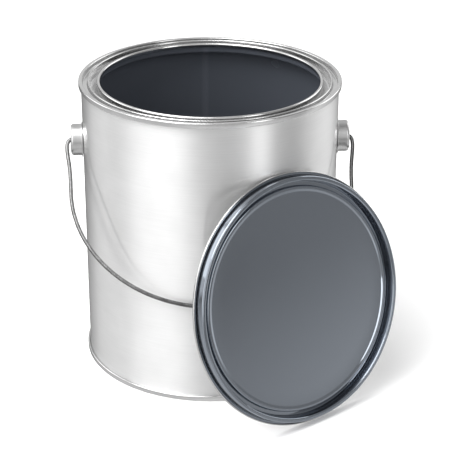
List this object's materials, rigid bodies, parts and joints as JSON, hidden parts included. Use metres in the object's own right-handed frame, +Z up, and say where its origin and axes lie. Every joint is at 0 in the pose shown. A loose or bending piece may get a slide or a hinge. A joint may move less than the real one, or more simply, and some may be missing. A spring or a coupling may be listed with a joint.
{
  "type": "paint can",
  "caption": "Open one-gallon tinplate paint can with a friction-lid ring, cup ears and a wire bail; its grey-lined lid leans against the body.",
  "frame": {"origin": "on the floor, under the middle of the bounding box of the can with its leaning lid", "axes": "+Z up along the can's axis; the bail's ears are on the X axis direction; -Y is the front, where the lid leans"},
  "size_m": [0.2117, 0.2258, 0.1905],
  "materials": {
    "body_tinplate": "bright tinplate with a fine rolling grain, lined inside with dark grey lacquer",
    "ring_tinplate": "bright tinplate, drawn",
    "end_tinplate": "bright tinplate, lined inside with dark grey lacquer",
    "seam_compound": "matt sealing compound",
    "ear_tinplate": "bright tinplate, pressed",
    "bail_wire": "galvanised wire, satin",
    "lid_lining": "semi-gloss dark grey lacquer underneath, bright tinplate on top"
  },
  "bodies": {
    "can": {"can_body": "body_tinplate", "top_ring": "ring_tinplate", "bottom_end": "end_tinplate", "top_seam_compound": "seam_compound", "bottom_seam_compound": "seam_compound", "ear_left": "ear_tinplate", "ear_right": "ear_tinplate"},
    "lid": {"lid": "lid_lining"},
    "bail": {"bail": "bail_wire"}
  },
  "joints": [
    {"name": "lid_tip", "type": "hinge", "parent": "can", "child": "lid", "pos_m": [0.0512, -0.08019, 0.0035], "axis": [0.8237, 0.567, 0], "range_deg": [0, 104.7]},
    {"name": "bail_hinge", "type": "hinge", "parent": "can", "child": "bail", "pos_m": [-0.0118, 0.0287, 0.149], "axis": [-1, 0, 0], "range_deg": [0, 267.2]}
  ],
  "couplings": [
    {"joint": "bail_hinge", "follows": "lid_tip", "ratio": 2.55}
  ]
}
